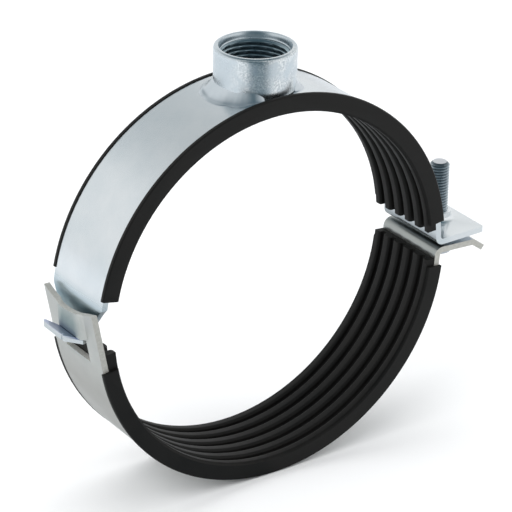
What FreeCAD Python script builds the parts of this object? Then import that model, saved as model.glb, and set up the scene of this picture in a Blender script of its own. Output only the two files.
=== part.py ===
"""Two-part pipe bracket with a ribbed rubber liner, a welded thread socket and one closing bolt.

Millimetres, +Z up. The origin is the middle of the pipe, the pipe runs along Y, the socket
stands on top and the bolt closes the right side. The left side hooks together.
"""
import FreeCAD, Part
import math
import os

V = FreeCAD.Vector

# Pipe and liner
pipe_d = 180.0
rib_h = 3.0
rib_count = 6
rib_side_room = 1.625
rib_land_half = 1.2
rib_round = 1.5
groove_shoulder = 0.9
liner_base = 2.0
liner_side_t = 1.7
liner_gap = 0.05
lip_rise = 1.3
lip_over_band = 0.45
lip_round = 0.6
edge_notch_w = 0.9
edge_notch_depth = 1.0
edge_bead_drop = 0.3
edge_bead_fall = 0.15

# Sheet steel band
band_w = 43.0
sheet_t = 3.0
flange_bend_in_r = 1.5

# Where the liners stop, as angles round the pipe from the right-hand side
upper_rib_right_deg = 4.9
upper_lip_right_deg = 7.6
upper_lip_left_deg = 168.5
lower_rib_left_deg = 185.2
lower_lip_left_deg = 190.4
lower_lip_right_deg = 353.2
lower_rib_right_deg = 355.4

# Right-hand flanges
upper_flange_under_z = -0.8
upper_flange_tilt = 1.5
flange_reach = 26.6
flange_corner_r = 1.2
lower_flange_top_z = -2.2
lower_flange_tilt = 2.2
fold_reach = 19.6
fold_r_in = 1.5
fold_turn = 34.0
tab_len = 6.6
tab_relief = 0.8
tongue_reach = 23.8

# Closing bolt, washer and the drawn thread that takes the bolt
bolt_reach = 14.0
bolt_d = 10.0
bolt_len = 41.3
bolt_head_af = 16.0
bolt_head_h = 6.4
bolt_tip_flat_d = 7.0
washer_od = 20.0
washer_t = 2.0
washer_hole_gap = 0.5
washer_seat_gap = 0.1
collar_h = 5.0
collar_wall = 1.7
collar_flare = 2.6
thread_gap = 0.05
bolt_slot_gap = 0.5

# Hinge: the hook on the upper half and the slotted plate on the lower half
hook_bend_out = 1.6
hook_bend_z = 1.1
hook_bend_in_r = 5.0
hook_lean = 13.0
shoulder_bend_r = 8.0
hook_reach = 6.0
hook_neck_w = 18.0
hook_ear_y = 17.8
hook_point_y = -1.3
hook_ear_round = 1.5
hook_side_run = 3.8
shoulder_back_z = 4.0
shoulder_back_drop = 3.5
hook_notch_w = 1.4
hook_notch_depth = 1.6
plate_lean = 11.2
plate_top_front_z = 13.4
plate_top_back_z = 12.4
plate_top_low_y = 9.0
plate_top_low_z = 7.6
slot_w = 21.5
slot_bottom_z = -16.0
bridge_gap = 0.65
bridge_foot_w = 25.2
bridge_ramp_w = 3.96
bridge_ramp_turn = 50.0
bridge_top_turn = 3.0
bridge_bend_r = 2.0

# Thread socket and its weld
socket_d = 39.3
socket_h = 19.7
socket_bore_d = 30.29
socket_recess_d = 34.0
socket_recess_depth = 3.2
socket_edge_r = 1.4
weld_gap = 0.03
weld_left_leg = 6.4
weld_left_rise = 4.6
weld_left_span = 126.0
weld_right_leg = 3.4
weld_right_rise = 2.4
weld_right_span = 92.0

# Worked out from the sizes above
rib_r = pipe_d / 2
groove_r = rib_r + rib_h
band_in_r = groove_r + liner_base
band_out_r = band_in_r + sheet_t
band_mid_r = band_in_r + sheet_t / 2
half_w = band_w / 2
half_liner = half_w + liner_side_t
rib_pitch = 2 * (half_liner - rib_side_room - rib_land_half) / (rib_count - 1)
half_t = sheet_t / 2
flange_bend_r = flange_bend_in_r + half_t
fold_r = fold_r_in + half_t
hook_bend_r = hook_bend_in_r + half_t
bolt_x = band_out_r + bolt_reach
flange_end_x = band_out_r + flange_reach
fold_x = band_out_r + fold_reach
tongue_end_x = band_out_r + tongue_reach
hook_bend_x = -band_out_r - hook_bend_out
hook_top_z = hook_bend_z - hook_bend_in_r
hook_end_x = hook_bend_x - hook_reach
bolt_r = bolt_d / 2
crown_z = band_out_r
socket_top_z = crown_z + socket_h
far = 400.0


def rad(deg):
    return math.radians(deg)


def xz(x, z, y=0.0):
    return V(x, y, z)


def arc_edge(centre, radius, a0, a1):
    """Round edge in the XZ plane about centre, from angle a0 to a1 in degrees."""
    angles = (a0, (a0 + a1) / 2, a1)
    pts = [centre + V(radius * math.cos(rad(a)), 0, radius * math.sin(rad(a))) for a in angles]
    return Part.Arc(*pts).toShape()


def line(a, b):
    return Part.LineSegment(a, b).toShape()


def face_of(edges):
    return Part.Face(Part.Wire(Part.__sortEdges__(edges)))


def polygon(points):
    return Part.Face(Part.makePolygon(list(points) + [points[0]]))


def sheet_outline(start, heading, steps):
    """Edges round a bent sheet: its middle line is walked in the XZ plane and given its thickness.

    A step is ("run", length) or ("bend", middle radius, turn in degrees, left positive).
    Returns the edges in order, and the end point.
    """
    p = start
    a = heading
    left = []
    right = []
    cap_start = None
    for step in steps:
        n = V(-math.sin(rad(a)), 0, math.cos(rad(a)))
        if cap_start is None:
            cap_start = line(p + n * half_t, p - n * half_t)
        if step[0] == "run":
            q = p + V(math.cos(rad(a)), 0, math.sin(rad(a))) * step[1]
            left.append(line(p + n * half_t, q + n * half_t))
            right.append(line(p - n * half_t, q - n * half_t))
            p = q
        else:
            radius = step[1]
            turn = step[2]
            side = 1 if turn > 0 else -1
            centre = p + n * radius * side
            b0 = a - 90 * side
            b1 = b0 + turn
            left.append(arc_edge(centre, radius - side * half_t, b0, b1))
            right.append(arc_edge(centre, radius + side * half_t, b0, b1))
            p = centre + V(math.cos(rad(b1)), 0, math.sin(rad(b1))) * radius
            a += turn
    n = V(-math.sin(rad(a)), 0, math.cos(rad(a)))
    cap_end = line(p + n * half_t, p - n * half_t)
    return left + [cap_end] + right[::-1] + [cap_start], p


def bent_sheet(start, heading, steps, width, y0):
    """A bent sheet of this width along Y, from y0. Returns the solid and its middle line's end."""
    edges, end = sheet_outline(start, heading, steps)
    face = face_of(edges)
    face.translate(V(0, y0, 0))
    return face.extrude(V(0, width, 0)), end


def prism_x(points_yz, x0, x1):
    """Prism along X over a closed outline in Y and Z."""
    return polygon([V(x0, y, z) for y, z in points_yz]).extrude(V(x1 - x0, 0, 0))


def prism_z(points_xy, z0, z1):
    """Prism along Z over a closed outline in X and Y."""
    return polygon([V(x, y, z0) for x, y in points_xy]).extrude(V(0, 0, z1 - z0))


def rounded_end_cut(x_end, x_in, corner, z0, z1):
    """What is cut off a flange end so that its two corners are round."""
    height = z1 - z0
    block = Part.makeBox(x_end - x_in + far, band_w + far, height, V(x_in, -(band_w + far) / 2, z0))
    keep = Part.makeBox(x_end - x_in, band_w, height, V(x_in, -half_w, z0))
    upright = [e for e in keep.Edges if e.BoundBox.ZLength > 0.5 * height]
    at_end = [e for e in upright if abs(e.BoundBox.XMin - x_end) < 0.01]
    return block.cut(keep.makeFillet(corner, at_end))


def placed(shape, ax, ay, az, origin):
    """Moves a shape so that its own X, Y and Z directions become ax, ay and az."""
    m = FreeCAD.Matrix(ax.x, ay.x, az.x, origin.x, ax.y, ay.y, az.y, origin.y, ax.z, ay.z, az.z, origin.z)
    shape.Placement = FreeCAD.Placement(m)
    return shape


def one_solid(shape):
    shape = shape.removeSplitter()
    return shape.Solids[0] if len(shape.Solids) == 1 else shape


def flange_bend_place(flange_mid_z, outward):
    """Centre of the bend between the round band and a flange, and the band's angle where it starts.

    outward is +1 for the upper half, whose bend centre lies above its flange, and -1 for the lower.
    """
    cz = flange_mid_z + outward * flange_bend_r
    reach = band_mid_r + flange_bend_r
    cx = math.sqrt(reach ** 2 - cz ** 2)
    return cx, cz, math.degrees(math.asin(cz / reach))


def upper_band_path():
    """Steps of the upper band, from the hook's free edge over the top to the right-hand flange."""
    m = V(math.cos(rad(hook_lean)), 0, math.sin(rad(hook_lean)))
    u = V(-math.sin(rad(hook_lean)), 0, math.cos(rad(hook_lean)))
    base = xz(hook_bend_x, hook_bend_z) + m * (hook_bend_r + shoulder_bend_r)
    reach = band_mid_r - shoulder_bend_r
    b = base.dot(u)
    c = base.dot(base) - reach ** 2
    run_up = -b + math.sqrt(b ** 2 - c)
    centre = base + u * run_up
    join = math.degrees(math.atan2(centre.z, -centre.x))
    cx, cz, right = flange_bend_place(upper_flange_under_z + half_t, 1)
    steps = [("run", hook_reach)]
    steps.append(("bend", hook_bend_r, 90 + hook_lean))
    steps.append(("run", run_up))
    steps.append(("bend", shoulder_bend_r, -(hook_lean + join)))
    steps.append(("bend", band_mid_r, -(180 - join - right)))
    steps.append(("bend", flange_bend_r, 90 - right + upper_flange_tilt))
    steps.append(("run", (flange_end_x - cx) / math.cos(rad(upper_flange_tilt))))
    return steps, band_mid_r * math.sin(rad(join))


def hook_outline():
    """Plan of the hook's head: skewed to the back, with a pointed front side and a small notch."""
    neck = hook_neck_w / 2
    x1 = hook_end_x
    x0 = x1 + hook_side_run
    xs = hook_bend_x + hook_bend_in_r
    notch = hook_point_y + hook_notch_w
    pts = [(xs, -neck), (hook_bend_x, -neck), (x1, hook_point_y), (x1, notch - hook_notch_w / 2)]
    pts += [(x1 + hook_notch_depth, notch), (x1, notch + hook_notch_w / 2)]
    pts += [(x1, hook_ear_y - hook_ear_round), (x1 + hook_ear_round * 0.4, hook_ear_y)]
    pts += [(x1 + hook_ear_round, hook_ear_y - 0.3), (x0, neck), (xs, neck)]
    return pts


def make_upper_band():
    steps, shoulder_z = upper_band_path()
    start = xz(hook_end_x, hook_top_z - half_t)
    band, end = bent_sheet(start, 0.0, steps, band_w, -half_w)
    neck = hook_neck_w / 2
    # Below its shoulders the end narrows to the neck, at 45 degrees in front and lower at the back.
    x_in = -band_in_r + shoulder_bend_r
    low = hook_top_z - far / 10
    for side, z, drop in ((-1, shoulder_z, half_w - neck), (1, shoulder_back_z, shoulder_back_drop)):
        out = side * (half_w + 1)
        cut = [(out, z), (side * half_w, z), (side * neck, z - drop), (side * neck, low), (out, low)]
        band = band.cut(prism_x(cut, hook_bend_x, x_in))
    # The head keeps only its own plan outside the bend.
    z0 = hook_top_z - 2 * sheet_t
    z1 = hook_top_z + sheet_t
    block = Part.makeBox(hook_reach + 1, band_w + 2, z1 - z0, V(hook_end_x - 1, -half_w - 1, z0))
    band = band.cut(block.cut(prism_z(hook_outline(), z0, z1)))
    # Round corners on the flange.
    z0 = end.z - 3 * sheet_t
    z1 = end.z + 3 * sheet_t
    band = band.cut(rounded_end_cut(flange_end_x + 0.05, bolt_x, flange_corner_r, z0, z1))
    return add_collar(band)


def flange_top_at_bolt():
    """Height of the upper flange's top face at the bolt."""
    cx, _, _ = flange_bend_place(upper_flange_under_z + half_t, 1)
    return upper_flange_under_z + sheet_t + (bolt_x - cx) * math.tan(rad(upper_flange_tilt))


def add_collar(band):
    """The drawn thread: a flared collar on the flange and the hole through both."""
    top = flange_top_at_bolt()
    inner = bolt_r + thread_gap
    outer = bolt_r + collar_wall
    foot = outer + collar_flare
    z_foot = top - half_t
    z_top = top + collar_h
    bulge = collar_flare * (1 - math.sqrt(0.5))
    edges = [line(xz(inner, z_foot), xz(foot, z_foot))]
    edges.append(line(xz(foot, z_foot), xz(foot, top)))
    flare = Part.Arc(xz(foot, top), xz(outer + bulge, top + bulge), xz(outer, top + collar_flare))
    edges.append(flare.toShape())
    edges.append(line(xz(outer, top + collar_flare), xz(outer, z_top - 0.6)))
    edges.append(line(xz(outer, z_top - 0.6), xz(outer - 0.6, z_top)))
    edges.append(line(xz(outer - 0.6, z_top), xz(inner, z_top)))
    edges.append(line(xz(inner, z_top), xz(inner, z_foot)))
    collar = face_of(edges).revolve(V(0, 0, 0), V(0, 0, 1), 360)
    collar.translate(V(bolt_x, 0, 0))
    hole = Part.makeCylinder(inner, far / 10, V(bolt_x, 0, top - far / 20))
    return one_solid(band.fuse(collar).cut(hole))


def plate_point(z):
    """Outer face of the hinge plate at height z, as X."""
    x0 = -band_out_r * math.cos(rad(plate_lean))
    z0 = -band_out_r * math.sin(rad(plate_lean))
    return x0 - (z - z0) * math.tan(rad(plate_lean))


def slot_top_z():
    return hook_top_z + bridge_gap


def lower_path(flange_run, folded):
    """Steps of the lower band, from the top of the hinge plate round the bottom to the flange."""
    cx, cz, right = flange_bend_place(lower_flange_top_z - half_t, -1)
    z_tan = -band_mid_r * math.sin(rad(plate_lean))
    top = max(plate_top_front_z, plate_top_back_z)
    run = (top - z_tan) / math.cos(rad(plate_lean))
    steps = [("run", run)]
    steps.append(("bend", band_mid_r, 180 - plate_lean + right))
    steps.append(("bend", flange_bend_r, -(90 + right + lower_flange_tilt)))
    steps.append(("run", (flange_run - cx) / math.cos(rad(lower_flange_tilt))))
    if folded:
        steps.append(("bend", fold_r, -fold_turn))
        steps.append(("run", tab_len))
    tangent = xz(-band_mid_r * math.cos(rad(plate_lean)), z_tan)
    heading = 270 + plate_lean
    start = tangent - V(math.cos(rad(heading)), 0, math.sin(rad(heading))) * run
    return start, heading, steps


def bridge_section(turn, height):
    """Outline of the bridge at one height of its own drawing, with its ramps turned by this angle."""
    r = bridge_bend_r
    straight = (bridge_ramp_w - 2 * r * math.sin(rad(turn))) / math.cos(rad(turn))
    side = half_w - bridge_foot_w / 2
    middle = bridge_foot_w - 2 * bridge_ramp_w
    steps = [("run", side), ("bend", r, turn), ("run", straight), ("bend", r, -turn), ("run", middle)]
    steps += [("bend", r, -turn), ("run", straight), ("bend", r, turn), ("run", side)]
    edges, _ = sheet_outline(V(-half_w, height, 0), 0.0, steps)
    return Part.Wire(edges)


def bridge():
    """The plate above the slot, pressed outwards at its lower edge so that the hook's neck fits inside.

    It is drawn flat, as a loft from the pressed edge to an almost straight top, and then moved
    on to the leaning plate.
    """
    z0 = slot_top_z()
    z1 = max(plate_top_front_z, plate_top_back_z)
    length = (z1 - z0) / math.cos(rad(plate_lean))
    sections = [bridge_section(bridge_ramp_turn, 0.0), bridge_section(bridge_top_turn, length)]
    sheet = Part.makeLoft(sections, True, True)
    # Local X runs across the band, local Y up the plate and local Z outwards.
    up = V(-math.sin(rad(plate_lean)), 0, math.cos(rad(plate_lean)))
    out = V(-math.cos(rad(plate_lean)), 0, -math.sin(rad(plate_lean)))
    origin = V(plate_point(z0), 0, z0) - out * half_t
    return placed(sheet, V(0, -1, 0), up, out, origin)


def plate_top_cut():
    """What is cut off the plate's top: a hollow curve, lowest a little behind the middle."""
    top = max(plate_top_front_z, plate_top_back_z) + 2 * sheet_t
    x0 = plate_point(top) - far / 20
    z_quarter = (plate_top_front_z + plate_top_low_z) / 2 - 0.6
    pts = [V(x0, -half_w - 0.01, plate_top_front_z), V(x0, -half_w / 2, z_quarter)]
    pts += [V(x0, plate_top_low_y, plate_top_low_z), V(x0, half_w + 0.01, plate_top_back_z)]
    curve = Part.BSplineCurve()
    curve.interpolate(pts)
    ends = [pts[-1], V(x0, half_w + 1, top), V(x0, -half_w - 1, top), pts[0]]
    edges = [curve.toShape()] + [line(a, b) for a, b in zip(ends, ends[1:])]
    return face_of(edges).extrude(V(far / 10, 0, 0))


def make_lower_band():
    start, heading, steps = lower_path(fold_x, True)
    band, _ = bent_sheet(start, heading, steps, band_w, -half_w)
    # The sheet above the slot gives way to the pressed bridge.
    z0 = slot_top_z()
    head = Part.makeBox(far / 10, band_w + 2, far / 10, V(-far / 20, -half_w - 1, 0))
    head.rotate(V(0, 0, 0), V(0, 1, 0), -plate_lean)
    head.translate(V(plate_point(z0), 0, z0))
    band = band.cut(head).fuse(bridge())
    band = band.cut(plate_top_cut())
    # Slot for the hook, open up to the bridge.
    slot = Part.makeBox(far / 10, slot_w, far / 10, V(-far / 20, -slot_w / 2, -far / 10))
    slot.rotate(V(0, 0, 0), V(0, 1, 0), -plate_lean)
    slot.translate(V(plate_point(z0), 0, z0))
    floor = Part.makeBox(far / 2, far / 2, far / 2, V(-far / 2, -far / 4, slot_bottom_z - far / 2))
    band = band.cut(slot.cut(floor))
    # Between the two folded corner tabs the flange stays flat and has a slot for the bolt.
    tab_in = washer_od / 2 + tab_relief
    z_low = lower_flange_top_z - far / 20
    gap = Part.makeBox(far / 10, 2 * (tab_in + tab_relief), far / 10, V(fold_x, -tab_in - tab_relief, z_low))
    band = band.cut(gap)
    start, heading, steps = lower_path(tongue_end_x, False)
    flat, _ = bent_sheet(start, heading, steps, 2 * tab_in, -tab_in)
    keep = Part.makeBox(far / 10, band_w, far / 10, V(fold_x - sheet_t, -half_w, z_low))
    band = band.fuse(flat.common(keep))
    r = bolt_r + bolt_slot_gap
    band = band.cut(Part.makeCylinder(r, far / 10, V(bolt_x, 0, z_low)))
    band = band.cut(Part.makeBox(far / 10, 2 * r, far / 10, V(bolt_x, -r, z_low)))
    return one_solid(band)


def rib_edges(with_walls):
    """Section of the liner in Y and radius, drawn in the XZ plane with X for Y and Z for radius."""
    land = rib_land_half
    shoulder = land + rib_round
    groove_z = groove_r - groove_shoulder
    first = -(rib_count - 1) / 2 * rib_pitch
    edges = []
    q = rib_round * (1 - math.sqrt(0.5))
    prev = None
    for i in range(rib_count):
        c = first + i * rib_pitch
        a = xz(c - shoulder, rib_r + rib_round)
        b = xz(c - land, rib_r)
        d = xz(c + land, rib_r)
        e = xz(c + shoulder, rib_r + rib_round)
        if prev is not None:
            edges.append(line(prev, xz(prev.x, groove_z)))
            mid = xz(c - rib_pitch / 2, groove_r)
            edges.append(Part.Arc(xz(prev.x, groove_z), mid, xz(a.x, groove_z)).toShape())
            edges.append(line(xz(a.x, groove_z), a))
            edges.append(Part.Arc(a, xz(c - shoulder + q, rib_r + q), b).toShape())
        edges.append(line(b, d))
        if i < rib_count - 1:
            edges.append(Part.Arc(d, xz(c + shoulder - q, rib_r + q), e).toShape())
        prev = e
    last_land = -first + land
    back_r = band_in_r - liner_gap
    if not with_walls:
        w = half_w
        for s in (-1, 1):
            corner = xz(s * last_land, rib_r)
            foot = xz(s * w, rib_r + edge_notch_depth)
            edges.append(line(corner, foot))
            edges.append(line(foot, xz(s * w, back_r)))
        edges.append(line(xz(-w, back_r), xz(w, back_r)))
        return edges
    wall_in = half_w + liner_gap
    lip_under = band_out_r + liner_gap
    lip_top = band_out_r + lip_rise
    lip_in = half_w - lip_over_band
    bead_in = last_land + edge_notch_w
    bead_r = rib_r + edge_bead_drop
    bead_end_r = bead_r + edge_bead_fall
    for s in (-1, 1):
        pts = [(last_land, rib_r), (last_land + edge_notch_w / 2, rib_r + edge_notch_depth)]
        pts += [(bead_in, bead_r), (half_liner - lip_round, bead_end_r), (half_liner, bead_end_r + lip_round)]
        pts += [(half_liner, lip_top - lip_round), (half_liner - lip_round, lip_top)]
        pts += [(lip_in + 0.15, lip_top), (lip_in, lip_under), (wall_in, lip_under), (wall_in, back_r)]
        vs = [xz(s * y, r) for y, r in pts]
        edges += [line(a, b) for a, b in zip(vs, vs[1:])]
    edges.append(line(xz(-wall_in, back_r), xz(wall_in, back_r)))
    return edges


def liner_arc(with_walls, a0, a1):
    """Carries the liner's section round the pipe from angle a0 to a1."""
    face = face_of(rib_edges(with_walls))
    # The drawing's X becomes Y and its Z becomes the radius, along +X.
    face = placed(face, V(0, 1, 0), V(0, 0, 1), V(1, 0, 0), V(0, 0, 0))
    face.rotate(V(0, 0, 0), V(0, 1, 0), -a0)
    return face.revolve(V(0, 0, 0), V(0, 1, 0), -(a1 - a0))


def make_upper_liner():
    main = liner_arc(True, upper_lip_right_deg, upper_lip_left_deg)
    end = liner_arc(False, upper_rib_right_deg, upper_lip_right_deg)
    return one_solid(main.fuse(end))


def make_lower_liner():
    main = liner_arc(True, lower_lip_left_deg, lower_lip_right_deg)
    left = liner_arc(False, lower_rib_left_deg, lower_lip_left_deg)
    right = liner_arc(False, lower_lip_right_deg, lower_rib_right_deg)
    return one_solid(main.fuse([left, right]))


def make_socket():
    """Turned socket with a plain recess above its thread, standing on the crown of the band."""
    r = socket_d / 2
    bore = socket_bore_d / 2
    recess = socket_recess_d / 2
    z0 = crown_z
    z1 = socket_top_z
    ledge = z1 - socket_recess_depth
    q = socket_edge_r * (1 - math.sqrt(0.5))
    edges = [line(xz(bore, z0), xz(r, z0))]
    edges.append(line(xz(r, z0), xz(r, z1 - socket_edge_r)))
    edge = Part.Arc(xz(r, z1 - socket_edge_r), xz(r - q, z1 - q), xz(r - socket_edge_r, z1))
    edges.append(edge.toShape())
    edges.append(line(xz(r - socket_edge_r, z1), xz(recess, z1)))
    edges.append(line(xz(recess, z1), xz(recess, ledge)))
    edges.append(line(xz(recess, ledge), xz(bore, ledge)))
    edges.append(line(xz(bore, ledge), xz(bore, z0)))
    return face_of(edges).revolve(V(0, 0, 0), V(0, 0, 1), 360)


def weld_bead(leg, rise, middle_deg, span_deg):
    """One weld bead: a sloping ring segment between the socket's wall and the round band."""
    r0 = socket_d / 2 + weld_gap
    r1 = r0 + leg
    z_low = band_out_r * math.cos(math.asin(min(0.9, (r1 + 1) / band_out_r))) - 1
    z_edge = math.sqrt(band_out_r ** 2 - r1 ** 2)
    mid_r = r0 + leg * 0.38
    mid_z = z_edge + (crown_z + rise - z_edge) * 0.42
    slope = Part.Arc(xz(r1, z_edge), xz(mid_r, mid_z), xz(r0, crown_z + rise)).toShape()
    edges = [slope, line(xz(r0, crown_z + rise), xz(r0, z_low))]
    edges += [line(xz(r0, z_low), xz(r1, z_low)), line(xz(r1, z_low), xz(r1, z_edge))]
    face = face_of(edges)
    face.rotate(V(0, 0, 0), V(0, 0, 1), middle_deg - span_deg / 2)
    return face.revolve(V(0, 0, 0), V(0, 0, 1), span_deg)


def make_weld():
    left = weld_bead(weld_left_leg, weld_left_rise, 180.0, weld_left_span)
    right = weld_bead(weld_right_leg, weld_right_rise, 0.0, weld_right_span)
    band = Part.makeCylinder(band_out_r + weld_gap, band_w + far, V(0, -(band_w + far) / 2, 0), V(0, 1, 0))
    return Part.makeCompound([left.cut(band).Solids[0], right.cut(band).Solids[0]])


def washer_top_z():
    """The washer lies under the lower flange, below the lowest point of the flange over it."""
    cx, _, _ = flange_bend_place(lower_flange_top_z - half_t, -1)
    under = lower_flange_top_z - sheet_t
    edge_x = min(bolt_x + washer_od / 2, tongue_end_x)
    return under - (edge_x - cx) * math.tan(rad(lower_flange_tilt)) - washer_seat_gap


def make_washer():
    z = washer_top_z() - washer_t
    disc = Part.makeCylinder(washer_od / 2, washer_t, V(bolt_x, 0, z))
    hole = Part.makeCylinder(bolt_r + washer_hole_gap, washer_t, V(bolt_x, 0, z))
    return disc.cut(hole)


def make_bolt():
    """Hexagon head bolt with a chamfered head and tip, thread left plain."""
    seat = washer_top_z() - washer_t - washer_seat_gap / 2
    tip = seat + bolt_len
    corner = bolt_head_af / math.sqrt(3)
    hexagon = [V(corner * math.cos(rad(60 * i)), corner * math.sin(rad(60 * i)), 0) for i in range(6)]
    head = polygon(hexagon).extrude(V(0, 0, bolt_head_h))
    flat = bolt_head_af / 2
    rise = (corner - flat) * 0.6
    edges = [line(xz(0, 0), xz(flat * 0.95, 0)), line(xz(flat * 0.95, 0), xz(corner * 1.05, rise))]
    edges += [line(xz(corner * 1.05, rise), xz(corner * 1.05, bolt_head_h))]
    edges += [line(xz(corner * 1.05, bolt_head_h), xz(0, bolt_head_h)), line(xz(0, bolt_head_h), xz(0, 0))]
    head = head.common(face_of(edges).revolve(V(0, 0, 0), V(0, 0, 1), 360))
    head.translate(V(0, 0, seat - bolt_head_h))
    tip_r = bolt_tip_flat_d / 2
    chamfer_z = tip - (bolt_r - tip_r)
    root_z = seat - 1
    edges = [line(xz(0, root_z), xz(bolt_r, root_z)), line(xz(bolt_r, root_z), xz(bolt_r, chamfer_z))]
    edges += [line(xz(bolt_r, chamfer_z), xz(tip_r, tip)), line(xz(tip_r, tip), xz(0, tip))]
    edges.append(line(xz(0, tip), xz(0, root_z)))
    shank = face_of(edges).revolve(V(0, 0, 0), V(0, 0, 1), 360)
    bolt = head.fuse(shank)
    bolt.translate(V(bolt_x, 0, 0))
    return one_solid(bolt)


def main():
    os.makedirs("parts", exist_ok=True)
    nodes = {
        "upper_band": make_upper_band(),
        "lower_band": make_lower_band(),
        "upper_liner": make_upper_liner(),
        "lower_liner": make_lower_liner(),
        "threaded_socket": make_socket(),
        "socket_weld": make_weld(),
        "closing_bolt": make_bolt(),
        "bolt_washer": make_washer(),
    }
    for name, shape in nodes.items():
        shape.exportStep("parts/" + name + ".step")
        box = shape.BoundBox
        size = "%.1f x %.1f x %.1f mm" % (box.XLength, box.YLength, box.ZLength)
        print(name, len(shape.Solids), "solid", shape.isValid(), "volume %.0f" % shape.Volume, size)


main()
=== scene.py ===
"""Pipe bracket: zinc-plated steel halves with a ribbed rubber liner, seen as in the photograph.

Everything is in metres, in the frame of the solids: the pipe runs along Y, the socket points up
and the bolt closes the +X side. Sizes below are written in millimetres and multiplied by MM.
"""

import math

import bmesh
import bpy
import numpy as np
from mathutils import Matrix, Vector


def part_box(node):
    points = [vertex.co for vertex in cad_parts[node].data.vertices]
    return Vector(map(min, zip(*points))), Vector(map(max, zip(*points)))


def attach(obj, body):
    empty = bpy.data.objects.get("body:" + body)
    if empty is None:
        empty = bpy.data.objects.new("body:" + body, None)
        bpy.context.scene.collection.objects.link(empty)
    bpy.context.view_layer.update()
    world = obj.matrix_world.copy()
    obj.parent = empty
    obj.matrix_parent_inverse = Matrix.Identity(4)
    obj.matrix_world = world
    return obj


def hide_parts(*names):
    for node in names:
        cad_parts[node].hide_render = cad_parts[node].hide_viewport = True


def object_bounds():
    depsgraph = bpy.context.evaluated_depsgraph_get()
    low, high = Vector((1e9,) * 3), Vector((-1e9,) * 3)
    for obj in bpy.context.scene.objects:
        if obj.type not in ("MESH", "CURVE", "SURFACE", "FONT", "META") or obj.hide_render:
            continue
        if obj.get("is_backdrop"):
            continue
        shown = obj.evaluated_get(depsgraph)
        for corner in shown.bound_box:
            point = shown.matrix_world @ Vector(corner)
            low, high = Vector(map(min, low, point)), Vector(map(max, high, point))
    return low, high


MM = 0.001

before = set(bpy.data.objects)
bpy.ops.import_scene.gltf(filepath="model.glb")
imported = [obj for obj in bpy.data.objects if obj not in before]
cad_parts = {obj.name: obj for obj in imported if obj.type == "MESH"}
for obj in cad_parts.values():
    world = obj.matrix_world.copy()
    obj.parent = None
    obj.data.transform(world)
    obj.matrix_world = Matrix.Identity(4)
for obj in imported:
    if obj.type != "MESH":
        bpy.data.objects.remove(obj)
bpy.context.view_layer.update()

# Sizes that the dressed pieces share with the solids, in millimetres.
band_out_r = 98.0
socket_d = 39.3
socket_foot_z = 98.0
socket_top_z = 117.7
socket_edge_r = 1.4
socket_facets = 160
recess_d = 34.0
recess_depth = 3.2
recess_taper = 0.6
pipe_thread_core_d = 30.29
pipe_thread_root_d = 33.25
pipe_thread_pitch = 2.309
thread_mouth_share = 0.75
bolt_x = 112.0
bolt_d = 10.0
bolt_core_d = 8.16
bolt_pitch = 1.5
bolt_tip_d = 7.0
bolt_head_af = 16.0
bolt_head_h = 6.4
bolt_facets = 72
bolt_tip_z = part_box("closing_bolt")[1][2] / MM
bolt_seat_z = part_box("closing_bolt")[0][2] / MM + bolt_head_h
washer_foot_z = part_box("bolt_washer")[0][2] / MM
band_side_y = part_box("lower_band")[1][1] / MM

# The fitted view of the photograph.
photo_px = 512.0
focal_px = 2745.34
view_around_deg = 34.4253
view_above_deg = 25.6196
view_roll_deg = 1.0076
view_distance = 1317.6
view_target = (2.343, 0.0, 8.728)

# The floor in metres, and the level ways in which reflections get darker: across the floor, and
# towards the room behind the camera.
floor_middle = (1.35, 2.45)
floor_size = 6.0
floor_gap = 0.0002
floor_dark_way = (-0.413, -0.911, 0.0)
room_way = (-0.565, -0.825, 0.0)


# Materials

def new_material(name):
    """A material with its Principled shader, ready for nodes."""
    mat = bpy.data.materials.new(name)
    mat.use_nodes = True
    tree = mat.node_tree
    shader = next(n for n in tree.nodes if n.type == "BSDF_PRINCIPLED")
    coords = tree.nodes.new("ShaderNodeTexCoord")
    return mat, tree, shader, coords.outputs["Object"]


def stretched(tree, source, scale):
    """Object coordinates multiplied by scale, so that a grain can run along one axis."""
    mapping = tree.nodes.new("ShaderNodeMapping")
    mapping.inputs["Scale"].default_value = scale
    tree.links.new(source, mapping.inputs["Vector"])
    return mapping.outputs["Vector"]


def noise(tree, source, scale, detail, roughness):
    """Cloudy noise: scale cells to the metre, detail finer layers, each roughness times as strong."""
    node = tree.nodes.new("ShaderNodeTexNoise")
    node.inputs["Scale"].default_value = scale
    node.inputs["Detail"].default_value = detail
    node.inputs["Roughness"].default_value = roughness
    tree.links.new(source, node.inputs["Vector"])
    return node.outputs["Fac"]


def between(tree, value, low, high, out_low, out_high):
    """Carries value from low..high to out_low..out_high, held at both ends."""
    node = tree.nodes.new("ShaderNodeMapRange")
    node.inputs["From Min"].default_value = low
    node.inputs["From Max"].default_value = high
    node.inputs["To Min"].default_value = out_low
    node.inputs["To Max"].default_value = out_high
    tree.links.new(value, node.inputs["Value"])
    return node.outputs["Result"]


def colour_mix(tree, factor, low, high):
    """Mixes two colours, each written out or taken from another node."""
    node = tree.nodes.new("ShaderNodeMix")
    node.data_type = "RGBA"
    for name, colour in (("A", low), ("B", high)):
        socket_in = next(s for s in node.inputs if s.name == name and s.type == "RGBA")
        if isinstance(colour, tuple):
            socket_in.default_value = (*colour, 1.0)
        else:
            tree.links.new(colour, socket_in)
    tree.links.new(factor, node.inputs["Factor"])
    return next(s for s in node.outputs if s.type == "RGBA")


def vector_op(tree, operation, value, other=None):
    """A vector operation; it returns a number for a length or a dot product and a vector otherwise."""
    node = tree.nodes.new("ShaderNodeVectorMath")
    node.operation = operation
    tree.links.new(value, node.inputs[0])
    if other is not None:
        node.inputs[1].default_value = other
    return node.outputs["Value" if operation in ("LENGTH", "DOT_PRODUCT") else "Vector"]


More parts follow.
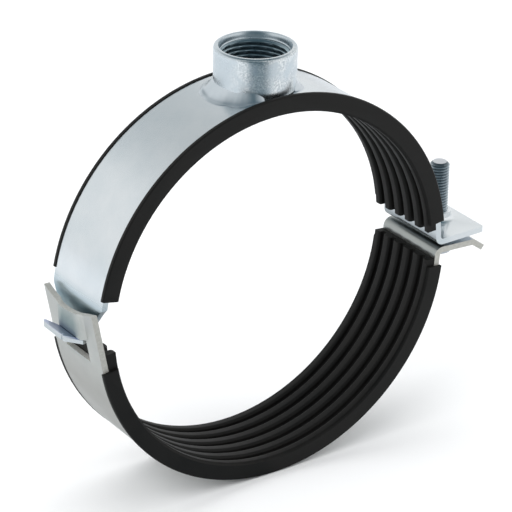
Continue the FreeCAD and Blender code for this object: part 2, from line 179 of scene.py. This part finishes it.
def maths(tree, operation, a, b):
    """A sum, product or the like of two numbers."""
    node = tree.nodes.new("ShaderNodeMath")
    node.operation = operation
    tree.links.new(a, node.inputs[0])
    tree.links.new(b, node.inputs[1])
    return node.outputs["Value"]


def within(tree, source, *limits):
    """1 inside a box with soft sides and 0 outside.

    Each limit is an axis, the value where the mask is 0 and the value where it is 1, in millimetres.
    """
    split = tree.nodes.new("ShaderNodeSeparateXYZ")
    tree.links.new(source, split.inputs["Vector"])
    mask = None
    for axis, none, full in limits:
        step = between(tree, split.outputs[axis], none * MM, full * MM, 0.0, 1.0)
        mask = step if mask is None else maths(tree, "MULTIPLY", mask, step)
    return mask


def radius_about(tree, source, x_mm):
    """Distance from the upright axis at x_mm."""
    moved = vector_op(tree, "SUBTRACT", source, (x_mm * MM, 0.0, 0.0))
    return vector_op(tree, "LENGTH", vector_op(tree, "MULTIPLY", moved, (1.0, 1.0, 0.0)))


def bump(tree, height, strength, distance):
    """Tilts the surface as if height, from 0 to 1, stood distance metres proud."""
    node = tree.nodes.new("ShaderNodeBump")
    node.inputs["Strength"].default_value = strength
    node.inputs["Distance"].default_value = distance
    tree.links.new(height, node.inputs["Height"])
    return node.outputs["Normal"]


def painted_light_patch(colour, *limits, duller=0.0):
    """A patch of painted light or shade on the plating: its colour, the box that it lies in and how much
    rougher it is.
    """
    return colour, limits, duller


def zinc_plate(name, dull, bright, gloss, grain, grain_size, painted_patches=()):
    """Zinc-plated steel: cloudy plating, fine rolling grain along the sheet and a soft gloss.

    gloss is its lowest and highest roughness. Each patch of painted light or shade lies over the ones before
    it.
    """
    mat, tree, shader, xyz = new_material(name)
    cloud = noise(tree, xyz, 38.0, 4.0, 0.6)
    fine = noise(tree, stretched(tree, xyz, grain), grain_size, 3.0, 0.6)
    tint = colour_mix(tree, between(tree, cloud, 0.3, 0.72, 0.0, 1.0), dull, bright)
    rough = between(tree, cloud, 0.25, 0.75, gloss[1], gloss[0])
    for colour, limits, duller in painted_patches:
        mask = within(tree, xyz, *limits)
        tint = colour_mix(tree, mask, tint, colour)
        rough = maths(tree, "ADD", rough, between(tree, mask, 0.0, 1.0, 0.0, duller))
    tree.links.new(tint, shader.inputs["Base Color"])
    tree.links.new(rough, shader.inputs["Roughness"])
    shader.inputs["Metallic"].default_value = 1.0
    tree.links.new(bump(tree, fine, 0.10, 0.00005), shader.inputs["Normal"])
    return mat


def turned_zinc(name):
    """The socket's plating outside: smooth towards the band's left end and mottled in front."""
    mat, tree, shader, xyz = new_material(name)
    cloud = noise(tree, xyz, 60.0, 3.0, 0.6)
    spangle = noise(tree, xyz, 1300.0, 2.0, 0.6)
    spots = between(tree, spangle, 0.38, 0.62, 0.0, 1.0)
    patchy = between(tree, noise(tree, xyz, 150.0, 2.0, 0.5), 0.36, 0.56, 0.0, 1.0)
    smooth_zinc = colour_mix(tree, cloud, (0.52, 0.58, 0.62), (0.60, 0.66, 0.70))
    mottled = colour_mix(tree, spots, (0.50, 0.55, 0.58), (0.80, 0.83, 0.84))
    mottled = colour_mix(tree, patchy, smooth_zinc, mottled)
    front = within(tree, xyz, ("Y", -4.0, -13.0))
    tree.links.new(colour_mix(tree, front, smooth_zinc, mottled), shader.inputs["Base Color"])
    tree.links.new(between(tree, cloud, 0.25, 0.75, 0.34, 0.20), shader.inputs["Roughness"])
    shader.inputs["Metallic"].default_value = 1.0
    tree.links.new(bump(tree, spangle, 0.22, 0.00004), shader.inputs["Normal"])
    return mat


def cut_thread(name, axis_x, root_r, crest_r, root, crest):
    """Plated screw thread with painted shade in its roots and a painted highlight on its crests, by distance
    from its axis.
    """
    mat, tree, shader, xyz = new_material(name)
    # Painted shade in the thread's roots and a painted highlight on its crests.
    crest_painted_light = between(tree, radius_about(tree, xyz, axis_x), root_r * MM, crest_r * MM, 0.0, 1.0)
    worn = between(tree, noise(tree, xyz, 260.0, 3.0, 0.6), 0.3, 0.7, 0.25, 0.34)
    tree.links.new(colour_mix(tree, crest_painted_light, root, crest), shader.inputs["Base Color"])
    tree.links.new(worn, shader.inputs["Roughness"])
    shader.inputs["Metallic"].default_value = 1.0
    return mat


def sheared_edge(name):
    """A sheared edge of the sheet: warm grey, rougher and less of a mirror than the plated faces.

    It carries painted light in the hook's slot, which lies in the hook's shade.
    """
    mat, tree, shader, xyz = new_material(name)
    tear = noise(tree, xyz, 700.0, 3.0, 0.6)
    torn = between(tree, tear, 0.3, 0.7, 0.0, 1.0)
    bare = colour_mix(tree, torn, (0.49, 0.48, 0.44), (0.61, 0.60, 0.56))
    # Painted light: the cut faces in the hook's slot, which lie in its shade, are made nearly white.
    slot = within(tree, xyz, ("Y", -13.0, -12.0), ("Y", 13.0, 12.0), ("Z", -5.0, -9.0))
    tree.links.new(colour_mix(tree, slot, bare, (0.97, 0.96, 0.90)), shader.inputs["Base Color"])
    shader.inputs["Metallic"].default_value = 0.45
    shader.inputs["Roughness"].default_value = 0.5
    tree.links.new(bump(tree, tear, 0.2, 0.00005), shader.inputs["Normal"])
    return mat


def moulded_rubber(name):
    """Black extruded rubber: nearly matt, with a faint bloom and a fine skin texture."""
    mat, tree, shader, xyz = new_material(name)
    bloom = noise(tree, xyz, 55.0, 4.0, 0.6)
    skin = noise(tree, xyz, 2600.0, 2.0, 0.5)
    cloudy = between(tree, bloom, 0.35, 0.7, 0.0, 1.0)
    tint = colour_mix(tree, cloudy, (0.0052, 0.0047, 0.0042), (0.0095, 0.0087, 0.0078))
    tree.links.new(tint, shader.inputs["Base Color"])
    tree.links.new(between(tree, bloom, 0.3, 0.7, 0.50, 0.62), shader.inputs["Roughness"])
    shader.inputs["Specular IOR Level"].default_value = 0.24
    tree.links.new(bump(tree, skin, 0.12, 0.00006), shader.inputs["Normal"])
    return mat


along_sheet = (1.0, 14.0, 1.0)
even = (1.0, 1.0, 1.0)

# Painted shade and light on the upper band: painted shade on the curl behind the hook, the hook's head
# and its root and the inside of the right-hand bend, and painted light on the flange.
# Painted shade on the curl behind the hook, where the hinge plate shades it and darkens its reflection.
curl_painted_shade = painted_light_patch((0.35, 0.48, 0.54), ("Z", 19.0, 9.0), ("Z", -4.0, -1.0), ("X", -92.0, -96.0), duller=0.16)
# Painted shade on the hook's head top, and darker painted shade on its root by the plate.
hook_top_painted_shade = painted_light_patch((0.50, 0.55, 0.68), ("Z", -4.3, -4.0), ("X", -98.0, -100.0))
hook_shade = painted_light_patch((0.14, 0.18, 0.30), ("Z", -5.2, -4.6), ("X", -98.0, -99.0), ("X", -105.5, -101.5))
# Painted shade inside the right-hand bend, in the gap between the two bends.
bend_painted_shade = painted_light_patch(
    (0.24, 0.27, 0.29), ("Z", 6.0, 1.0), ("X", 101.0, 99.0), ("X", 90.0, 94.0), ("Y", -21.5, -21.1)
)
# Painted light: the flange's top is made brighter.
upper_flange_painted_light = painted_light_patch((0.77, 0.80, 0.82), ("X", 101.0, 105.0), ("Z", -2.0, -1.0))
zinc_upper = zinc_plate(
    "zinc_upper_band", (0.64, 0.69, 0.72), (0.72, 0.75, 0.77), (0.20, 0.28), along_sheet, 900.0,
    (curl_painted_shade, hook_top_painted_shade, hook_shade, bend_painted_shade, upper_flange_painted_light),
)

# Painted shade on the lower band: on the pressed bridge over the slot, the fold under the flange, the round
# stretch low on the left and the flange's top face.
# Painted shade in the pressed bridge's dish over the slot.
bridge_painted_shade = painted_light_patch(
    (0.31, 0.38, 0.38), ("Y", -12.0, -4.0), ("Y", 13.0, 6.0), ("X", -96.0, -98.0), ("Z", 13.0, 3.0),
    duller=0.05,
)
# Painted shade on the fold under the flange, in the gap between the halves.
fold_painted_shade = painted_light_patch(
    (0.36, 0.38, 0.37), ("Z", -11.0, -6.0), ("X", 104.0, 99.0), ("X", 90.0, 94.0), ("Y", -21.5, -21.1)
)
# Painted shade on the round stretch low on the left.
low_painted_shade = painted_light_patch((0.50, 0.49, 0.46), ("Z", -14.0, -34.0), ("X", -70.0, -80.0))
# Painted shade on the lower flange's top, under the upper flange.
lower_flange_painted_shade = painted_light_patch((0.38, 0.43, 0.48), ("Z", -3.6, -2.9), ("X", 101.0, 104.0), ("Y", -21.5, -21.1))
zinc_lower = zinc_plate(
    "zinc_lower_band", (0.56, 0.57, 0.55), (0.66, 0.66, 0.63), (0.26, 0.38), along_sheet, 900.0,
    (bridge_painted_shade, fold_painted_shade, low_painted_shade, lower_flange_painted_shade),
)
zinc_weld = zinc_plate("zinc_weld", (0.54, 0.60, 0.64), (0.66, 0.70, 0.74), (0.26, 0.38), even, 420.0)
zinc_washer = zinc_plate("zinc_washer", (0.56, 0.58, 0.61), (0.68, 0.70, 0.73), (0.26, 0.38), even, 900.0)
zinc_socket = turned_zinc("zinc_socket")
cut_edge = sheared_edge("sheared_edge")
# Painted shade: the socket's bore is made darker throughout, and both threads carry painted shade in their
# roots and a painted highlight on their crests.
socket_thread = cut_thread("socket_thread", 0.0, 16.4, 15.2, (0.24, 0.31, 0.35), (0.40, 0.49, 0.53))
bolt_thread = cut_thread("bolt_thread", bolt_x, 4.15, 4.9, (0.14, 0.17, 0.19), (0.48, 0.54, 0.58))
rubber = moulded_rubber("liner_rubber")


# Pieces

def finish_piece(obj, mat, body, node):
    """Gives a new piece its material and body, and hides the solid it stands for."""
    obj.data.materials.clear()
    obj.data.materials.append(mat)
    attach(obj, body)
    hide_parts(node)
    return obj


def lower_rims(bm, far, near):
    """Draws a liner's rims towards the band: new radius = band + share * (radius - band), beyond the band.

    The share is far at the back edge and near at the front edge. 1 leaves a rim as it is.
    """
    band = band_out_r * MM
    for vert in bm.verts:
        radius = math.hypot(vert.co.x, vert.co.z)
        if radius > band:
            share = far if vert.co.y > 0.0 else near
            vert.co.xz = vert.co.xz * ((band + share * (radius - band)) / radius)


def second_material(obj, mat, chosen):
    """Gives mat to the faces for which chosen(x, y, z, normal) is true, with places in millimetres."""
    obj.data.materials.append(mat)
    for face in obj.data.polygons:
        face.material_index = int(chosen(*(face.center / MM), face.normal))


def dressed_copy(node, name, mat, body, edge_mm, sharp_deg=28.0, rims=None):
    """A merged copy of a node with smooth faces, crisp corners and a small rounding along them.

    With rims, the shares of a liner's far and near rim, its rims are lowered too.
    """
    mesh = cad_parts[node].data.copy()
    mesh.name = name
    bm = bmesh.new()
    bm.from_mesh(mesh)
    bmesh.ops.remove_doubles(bm, verts=bm.verts, dist=2e-6)
    bmesh.ops.dissolve_degenerate(bm, edges=bm.edges, dist=1e-6)
    bmesh.ops.dissolve_limit(
        bm, angle_limit=math.radians(0.4), use_dissolve_boundaries=False, verts=bm.verts, edges=bm.edges
    )
    if rims:
        lower_rims(bm, *rims)
    bm.to_mesh(mesh)
    bm.free()
    mesh.shade_smooth()
    mesh.set_sharp_from_angle(angle=math.radians(sharp_deg))
    obj = bpy.data.objects.new(name, mesh)
    bpy.context.scene.collection.objects.link(obj)
    edge = obj.modifiers.new("edge_round", "BEVEL")
    edge.width = edge_mm * MM
    edge.segments = 2
    edge.limit_method = "ANGLE"
    edge.angle_limit = math.radians(sharp_deg)
    edge.use_clamp_overlap = True
    edge.harden_normals = True
    return finish_piece(obj, mat, body, node)


def grid_faces(rows, columns, wrap_rows=False):
    """Quads over a grid of points numbered row by row. Its columns join up, and its rows where asked."""
    r = np.arange(rows if wrap_rows else rows - 1)
    r0, c0 = np.meshgrid(r, np.arange(columns), indexing="ij")
    r1 = (r0 + 1) % rows
    c1 = (c0 + 1) % columns
    quads = np.stack([r0 * columns + c0, r0 * columns + c1, r1 * columns + c1, r1 * columns + c0], axis=-1)
    return quads.reshape(-1, 4)


def surface_object(name, points, faces, sharp_deg):
    """Makes a mesh from points in millimetres and quads, merges doubled points, turns it outwards."""
    mesh = bpy.data.meshes.new(name)
    mesh.from_pydata((np.asarray(points, dtype=float) * MM).tolist(), [], np.asarray(faces).tolist())
    bm = bmesh.new()
    bm.from_mesh(mesh)
    bmesh.ops.remove_doubles(bm, verts=bm.verts, dist=1e-6)
    bmesh.ops.dissolve_degenerate(bm, edges=bm.edges, dist=1e-7)
    bmesh.ops.recalc_face_normals(bm, faces=bm.faces)
    bm.to_mesh(mesh)
    bm.free()
    mesh.shade_smooth()
    mesh.set_sharp_from_angle(angle=math.radians(sharp_deg))
    obj = bpy.data.objects.new(name, mesh)
    bpy.context.scene.collection.objects.link(obj)
    return obj


def vee_wave(phase, crest, root):
    """Screw-thread section: 0 on a crest of share crest, 1 on a root of share root, straight flanks."""
    p = np.abs(((phase + 0.5) % 1.0) - 0.5) * 2.0
    return np.clip((p - crest) / (1.0 - crest - root), 0.0, 1.0)


def smooth(x):
    """An S-curve from 0 to 1: x * x * (3 - 2 * x), held at both ends."""
    x = np.clip(x, 0.0, 1.0)
    return x * x * (3.0 - 2.0 * x)


def rounded_vee(phase, crest, root):
    """The vee wave averaged over a few near phases, which rounds its crests and roots."""
    shifts = (-0.05, -0.025, 0.0, 0.025, 0.05)
    return sum(vee_wave(phase + s, crest, root) for s in shifts) / len(shifts)


def socket_surface():
    """Turned socket: radius r(t, s) over turn angle t and a profile coordinate s, closed both ways.

    The profile climbs the outer wall, turns in over a quarter-round edge, drops into the plain
    recess, which narrows a little downwards, crosses its ledge and goes down the bore. In the bore
    r = core + depth * vee(z / pitch - t / 2 pi), and the depth fades out at both ends, so the groove
    is one right-hand helix.
    """
    t = np.linspace(0, 2 * np.pi, socket_facets, endpoint=False)
    r_out = socket_d / 2
    r_recess = recess_d / 2
    r_core = pipe_thread_core_d / 2
    depth = (pipe_thread_root_d - pipe_thread_core_d) / 2
    ledge_z = socket_top_z - recess_depth
    wall_step = 0.45
    bore_rings = 118
    flats = 0.10
    run_out = 1.5
    run_in = 1.2
    quarter = np.linspace(0, np.pi / 2, 7)[1:]
    edge_z = socket_top_z - socket_edge_r
    outer_z = np.linspace(socket_foot_z, edge_z, 10)
    outer_r = np.full(outer_z.size, r_out)
    round_r = r_out - socket_edge_r + socket_edge_r * np.cos(quarter)
    round_z = edge_z + socket_edge_r * np.sin(quarter)
    lip_r = r_recess + np.array([0.6, 0.32, 0.2])
    lip_z = socket_top_z - np.array([0.0, 0.1, 0.4])
    wall_z = np.linspace(socket_top_z - 1.0, ledge_z + 0.5, 4)
    wall_r = r_recess + recess_taper * (wall_z - ledge_z) / recess_depth - wall_step
    mouth_r = r_core + depth * thread_mouth_share
    ledge_r = np.array([r_recess - wall_step, r_recess - wall_step - 0.25, mouth_r])
    bore_z = np.linspace(ledge_z - 0.05, socket_foot_z, bore_rings)
    profile_r = np.concatenate([outer_r, round_r, lip_r, wall_r, ledge_r])
    profile_z = np.concatenate([outer_z, round_z, lip_z, wall_z, ledge_z + np.array([0.25, 0.0, 0.0])])
    plain_r = np.repeat(profile_r[:, None], socket_facets, axis=1)
    plain_z = np.repeat(profile_z[:, None], socket_facets, axis=1)
    zz = np.repeat(bore_z[:, None], socket_facets, axis=1)
    wave = rounded_vee(zz / pipe_thread_pitch - t[None, :] / (2 * np.pi), flats, flats)
    fade = smooth((bore_z - socket_foot_z) / run_out)[:, None]
    lead = smooth((ledge_z - bore_z) / run_in)[:, None]
    bore_r = r_core + depth * (wave * fade * lead + thread_mouth_share * (1 - lead))
    r = np.concatenate([plain_r, bore_r])
    z = np.concatenate([plain_z, zz])
    points = np.stack([r * np.cos(t), r * np.sin(t), z], axis=-1).reshape(-1, 3)
    return surface_object("threaded_socket_turned", points, grid_faces(r.shape[0], socket_facets, True), 30.0)


def bolt_surface():
    """Hexagon bolt as two closed shells of revolution about the bolt's axis.

    Shank: r = core + depth * (1 - vee(z / pitch - t / 2 pi)), cut back to a cone at the tip and
    drawn to the axis at both ends. Head: r = flat / cos(t folded into 60 degrees), with its lower
    corners turned off by a cone.
    """
    t = np.linspace(0, 2 * np.pi, bolt_facets, endpoint=False)
    r_out = bolt_d / 2
    depth = (bolt_d - bolt_core_d) / 2
    foot_z = bolt_seat_z - 1.0
    rings_a_turn = 13
    flats = 0.12
    thread_start_z = bolt_seat_z + 2.5
    run_in = 2.0
    z = np.linspace(foot_z, bolt_tip_z, int((bolt_tip_z - foot_z) / bolt_pitch * rings_a_turn))
    zz = np.repeat(z[:, None], bolt_facets, axis=1)
    wave = rounded_vee(zz / bolt_pitch - t[None, :] / (2 * np.pi), flats, flats)
    started = smooth((z - thread_start_z) / run_in)[:, None]
    cone = bolt_tip_d / 2 + (bolt_tip_z - zz)
    r = np.minimum(r_out - depth * wave * started, cone)
    zero = np.zeros((1, bolt_facets))
    r = np.concatenate([zero, r, zero])
    zz = np.concatenate([zz[:1], zz, zz[-1:]])
    shank = np.stack([bolt_x + r * np.cos(t), r * np.sin(t), zz], axis=-1)
    flat = bolt_head_af / 2
    end_face_r = flat * 0.955
    end_cone_slope = 1.75
    seat_face_r = flat * 1.08
    folded = (t + np.pi / 6) % (np.pi / 3) - np.pi / 6
    hexagon = flat / np.cos(folded)
    level = np.array([0.0, 0.02, 0.35, 0.8, 1.3, 1.9, 2.6, 4.5, 6.0, bolt_head_h])
    dish = end_face_r + level * end_cone_slope
    hr = np.minimum(hexagon[None, :], dish[:, None])
    hr[-2:] = np.minimum(hexagon[None, :], seat_face_r)
    hz = np.repeat((bolt_seat_z - bolt_head_h + level)[:, None], bolt_facets, axis=1)
    hr = np.concatenate([zero, hr, zero])
    hz = np.concatenate([hz[:1], hz, hz[-1:]])
    head = np.stack([bolt_x + hr * np.cos(t), hr * np.sin(t), hz], axis=-1)
    shank_faces = grid_faces(shank.shape[0], bolt_facets)
    head_faces = grid_faces(head.shape[0], bolt_facets) + shank.shape[0] * bolt_facets
    points = np.concatenate([shank.reshape(-1, 3), head.reshape(-1, 3)])
    return surface_object("closing_bolt_threaded", points, np.concatenate([shank_faces, head_faces]), 32.0)


def weld_surface(name, middle_deg, span_deg, leg, rise, blobs, seed):
    """One weld bead, a closed section carried round the socket's foot.

    At turn angle f the bead reaches leg * (1 + wobble + ripple) out from the socket and climbs
    rise * (1 + 0.8 * wobble + ripple) up its wall. The visible line between them is a hollow curve,
    (1 - u) ** 1.9, with a low bell near its toe, and swells by each blob's bell curve. A blob is its
    angle, half its width in degrees and its height. Towards its ends the bead shrinks by
    sqrt(1 - |s| ** 5), with s from -1 to 1 along it.
    """
    rows = 150
    cols = 22
    toe_at = 0.80
    toe_width = 0.13
    toe_rise = 0.42
    in_wall = 0.35
    s = np.linspace(-1, 1, rows)
    f = np.radians(middle_deg + s * span_deg / 2)
    ends = np.sqrt(np.clip(1 - np.abs(s) ** 5, 0, 1))
    waves = zip((5, 9, 17), (0.07, 0.05, 0.02), np.random.default_rng(seed).uniform(0, 6.28, 3))
    wobble = sum(size * np.sin(count * f + phase) for count, size, phase in waves)
    ripple = 0.012 * np.abs(np.sin(f * 20.0 + 1.5 * np.sin(f * 5.0)))
    out = leg * ends * (1 + wobble + ripple)
    up = rise * ends * (1 + 0.8 * wobble + ripple)
    r0 = socket_d / 2
    u = np.linspace(0, 1, cols)
    r = r0 - in_wall + (out[:, None] + in_wall) * u[None, :]
    edge_r = np.clip(r0 + out, 0, band_out_r)
    band_at_edge = np.sqrt(band_out_r ** 2 - (edge_r * np.cos(f)) ** 2) - 0.15
    z = band_at_edge[:, None] + (socket_foot_z + up - band_at_edge)[:, None] * (1 - u[None, :]) ** 1.9
    toe = np.exp(-(((u - toe_at) / toe_width) ** 2))[None, :] * (toe_rise + 1.5 * wobble[:, None])
    z = z + toe * ends[:, None]
    for at, wide, size in blobs:
        bell = np.exp(-(((f - math.radians(at)) / math.radians(wide)) ** 2))
        z = z + size * bell[:, None] * np.sin(np.pi * u[None, :] ** 0.8) * ends[:, None]
    x = r * np.cos(f)[:, None]
    y = r * np.sin(f)[:, None]
    top = np.stack([x, y, z], axis=-1)
    sunk = np.sqrt(band_out_r ** 2 - x ** 2) - 0.7
    bottom = np.stack([x, y, np.minimum(sunk, z - 0.02)], axis=-1)[:, ::-1]
    ring = np.concatenate([top, bottom], axis=1)
    columns = ring.shape[1]
    middle_a = ring[:1].mean(axis=1, keepdims=True).repeat(columns, axis=1)
    middle_b = ring[-1:].mean(axis=1, keepdims=True).repeat(columns, axis=1)
    ring = np.concatenate([middle_a, ring, middle_b])
    return surface_object(name, ring.reshape(-1, 3), grid_faces(ring.shape[0], columns), 50.0)


def sheared(x, y, z, normal):
    """The lower band's cut faces: its two sides, and its hinge plate's faces that don't look along X."""
    on_plate = x < -90.0 and z > -30.0
    return abs(y) > band_side_y - 0.5 or (on_plate and abs(normal.x) < 0.6)


def in_bore(x, y, z, normal):
    """The socket's threaded bore, below its ledge."""
    bore_r = pipe_thread_root_d / 2 + 0.02
    ledge_z = socket_top_z - recess_depth
    return math.hypot(x, y) < bore_r and z < ledge_z + 0.1


def off_thread(x, y, z, normal):
    """The bolt's end face and its head."""
    return z > bolt_tip_z - 0.02 or z < washer_foot_z


dressed_copy("upper_band", "upper_band_plated", zinc_upper, "upper_half", 0.28)
lower_band = dressed_copy(
    "lower_band", "lower_band_plated", zinc_lower, "lower_half", 0.28, 40.0
)
second_material(lower_band, cut_edge, sheared)

dressed_copy(
    "upper_liner", "upper_liner_ribbed", rubber, "upper_half", 0.25, 33.0, rims=(0.35, 1.0)
)
dressed_copy(
    "lower_liner", "lower_liner_ribbed", rubber, "lower_half", 0.25, 33.0, rims=(0.12, 0.6)
)
dressed_copy("bolt_washer", "bolt_washer_plated", zinc_washer, "bolt_seat", 0.2)

socket = finish_piece(socket_surface(), zinc_socket, "upper_half", "threaded_socket")
second_material(socket, socket_thread, in_bore)

bolt = finish_piece(bolt_surface(), bolt_thread, "bolt", "closing_bolt")
second_material(bolt, zinc_washer, off_thread)

weld_left = weld_surface(
    "socket_weld_left", middle_deg=186.0, span_deg=128.0, leg=6.4, rise=3.8,
    blobs=[(235.0, 9.0, 0.9), (150.0, 12.0, 0.6)], seed=4,
)
weld_right = weld_surface(
    "socket_weld_right", middle_deg=352.0, span_deg=92.0, leg=3.4, rise=3.0, blobs=[(318.0, 8.0, 0.5)], seed=7
)
for bead in (weld_left, weld_right):
    finish_piece(bead, zinc_weld, "upper_half", "socket_weld")


# Camera, floor and light

def studio_camera():
    """The photograph's view, from the front left and above, rolled by one degree."""
    around = math.radians(view_around_deg)
    above = math.radians(view_above_deg)
    roll = math.radians(view_roll_deg)
    level = math.cos(above)
    back = Vector((-math.sin(around) * level, -math.cos(around) * level, math.sin(above)))
    right = Vector((math.cos(around), -math.sin(around), 0.0))
    up = back.cross(right)
    across = right * math.cos(roll) + up * math.sin(roll)
    upward = up * math.cos(roll) - right * math.sin(roll)
    data = bpy.data.cameras.new("photo_camera")
    data.sensor_fit = "HORIZONTAL"
    data.sensor_width = 36.0
    data.lens = focal_px / photo_px * data.sensor_width
    data.clip_start = 0.05
    data.clip_end = 20.0
    camera = bpy.data.objects.new("photo_camera", data)
    place = Matrix.Identity(4)
    for column, axis in enumerate((across, upward, back)):
        place[0][column], place[1][column], place[2][column] = axis
    place.translation = Vector(view_target) * MM + back * (view_distance * MM)
    camera.matrix_world = place
    bpy.context.scene.collection.objects.link(camera)
    bpy.context.scene.camera = camera


def soft_lamp(name, place, size, power):
    """An area lamp at place, turned to face the origin. The metal doesn't mirror it."""
    data = bpy.data.lights.new(name, "AREA")
    data.shape = "RECTANGLE"
    data.size, data.size_y = size
    data.energy = power
    lamp = bpy.data.objects.new(name, data)
    lamp.visible_glossy = False
    lamp.location = place
    lamp.rotation_euler = (-Vector(place)).to_track_quat("-Z", "Y").to_euler()
    bpy.context.scene.collection.objects.link(lamp)


def pale_floor():
    """A plain floor just under the lower half, white for the camera.

    In reflections it carries painted shade: it is white far off and greyer close by, and darker in a
    wedge towards the camera, where the room beyond the lights would show.
    """
    place = (*floor_middle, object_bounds()[0][2] - floor_gap)
    bpy.ops.mesh.primitive_plane_add(size=floor_size, location=place)
    floor = bpy.context.object
    floor.name = "pale_floor"
    mat, tree, shader, xyz = new_material("pale_floor")
    path = tree.nodes.new("ShaderNodeLightPath")
    spot = vector_op(tree, "ADD", xyz, (place[0], place[1], 0.0))
    away = between(tree, vector_op(tree, "LENGTH", spot), 0.25, 0.70, 0.0, 1.0)
    wedge = vector_op(tree, "DOT_PRODUCT", vector_op(tree, "NORMALIZE", spot), floor_dark_way)
    dark = between(tree, wedge, 0.84, 0.95, 0.0, 1.0)
    mirrored = colour_mix(tree, away, (0.62, 0.64, 0.65), (0.93, 0.94, 0.95))
    mirrored = colour_mix(tree, dark, mirrored, (0.27, 0.32, 0.35))
    lit = colour_mix(tree, path.outputs["Is Glossy Ray"], (0.66, 0.67, 0.66), mirrored)
    seen = colour_mix(tree, path.outputs["Is Camera Ray"], lit, (0.95, 0.95, 0.95))
    tree.links.new(seen, shader.inputs["Base Color"])
    shader.inputs["Roughness"].default_value = 0.9
    shader.inputs["Specular IOR Level"].default_value = 0.1
    floor.data.materials.append(mat)
    floor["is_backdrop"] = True


def studio_world():
    """White for the camera and even light for the rest.

    Metal sees white from the horizon up to a little over the flanges' reflections, and then a dusky
    blue-green: straight overhead, and towards the room behind the camera.
    """
    world = bpy.data.worlds.new("studio")
    bpy.context.scene.world = world
    world.use_nodes = True
    tree = world.node_tree
    tree.nodes.clear()
    out = tree.nodes.new("ShaderNodeOutputWorld")
    path = tree.nodes.new("ShaderNodeLightPath")
    coords = tree.nodes.new("ShaderNodeTexCoord")
    ray = coords.outputs["Generated"]
    overhead = between(tree, vector_op(tree, "DOT_PRODUCT", ray, (0.0, 0.0, 1.0)), 0.45, 0.92, 1.0, 0.0)
    room = between(tree, vector_op(tree, "DOT_PRODUCT", ray, room_way), 0.62, 0.90, 1.0, 0.0)
    both = maths(tree, "MULTIPLY", overhead, room)
    mirrored = colour_mix(tree, both, (0.10, 0.16, 0.19), (0.99, 1.0, 1.0))
    lit = colour_mix(tree, path.outputs["Is Glossy Ray"], (0.69, 0.705, 0.72), mirrored)
    seen = colour_mix(tree, path.outputs["Is Camera Ray"], lit, (1.0, 1.0, 1.0))
    light = tree.nodes.new("ShaderNodeBackground")
    tree.links.new(seen, light.inputs["Color"])
    tree.links.new(light.outputs["Background"], out.inputs["Surface"])


studio_camera()
pale_floor()
studio_world()
soft_lamp("key_left", (-1.6, -0.5, 1.5), (1.6, 1.6), 20.0)
soft_lamp("top", (0.3, 0.5, 1.8), (2.0, 1.6), 16.0)
soft_lamp("fill_right", (1.6, -0.9, 0.8), (1.0, 1.0), 6.0)
bpy.context.scene.view_settings.view_transform = "Standard"
